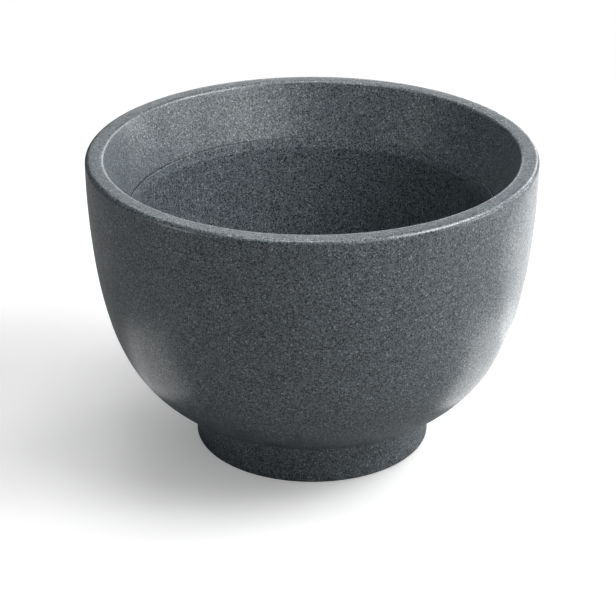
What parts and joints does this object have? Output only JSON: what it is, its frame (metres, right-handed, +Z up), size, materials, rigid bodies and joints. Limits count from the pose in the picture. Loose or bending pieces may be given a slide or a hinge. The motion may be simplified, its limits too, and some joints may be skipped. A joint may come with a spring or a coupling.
{
  "type": "round planter",
  "caption": "Round plastic floor planter: a deep bowl on a short foot, with a leaning collar, a lift-out liner, a drainage plate and a screw drain plug.",
  "frame": {"origin": "on the floor, under the centre of the foot", "axes": "+Z up along the bowl's axis; the picture looks along +Y from the -Y side; the liner's finger slots are on +X and -X"},
  "size_m": [0.55, 0.5498, 0.38],
  "materials": {
    "shell_plastic": "blue-grey granite-look moulded plastic with fine dark and light flecks, satin on the rim",
    "liner_plastic": "the same flecked plastic, a little duller",
    "grid_plastic": "plain dark moulded plastic",
    "bush_plastic": "black moulded plastic",
    "plug_plastic": "black moulded plastic, satin",
    "seal_rubber": "matt black rubber",
    "pad_rubber": "matt dark rubber"
  },
  "bodies": {
    "shell": {"planter_shell": "shell_plastic", "foot_pads": "pad_rubber", "drain_bush": "bush_plastic"},
    "liner": {"liner": "liner_plastic"},
    "grid": {"drainage_grid": "grid_plastic"},
    "seal": {"plug_seal": "seal_rubber"},
    "plug": {"drain_plug": "plug_plastic"}
  },
  "joints": [
    {"name": "liner_lift", "type": "slide", "parent": "shell", "child": "liner", "axis": [0, 0, 1], "range_m": [0, 0.38]},
    {"name": "grid_lift", "type": "slide", "parent": "liner", "child": "grid", "axis": [0, 0, 1], "range_m": [0, 0.33]},
    {"name": "plug_lift", "type": "slide", "parent": "shell", "child": "seal", "axis": [0, 0, 1], "range_m": [0, 0.012]},
    {"name": "plug_turn", "type": "hinge", "parent": "seal", "child": "plug", "pos_m": [0, 0, 0.0205], "axis": [0, 0, 1], "range_deg": [0, 1080]}
  ],
  "couplings": [
    {"joint": "plug_lift", "follows": "plug_turn", "m_per_rad": 0.000636}
  ]
}
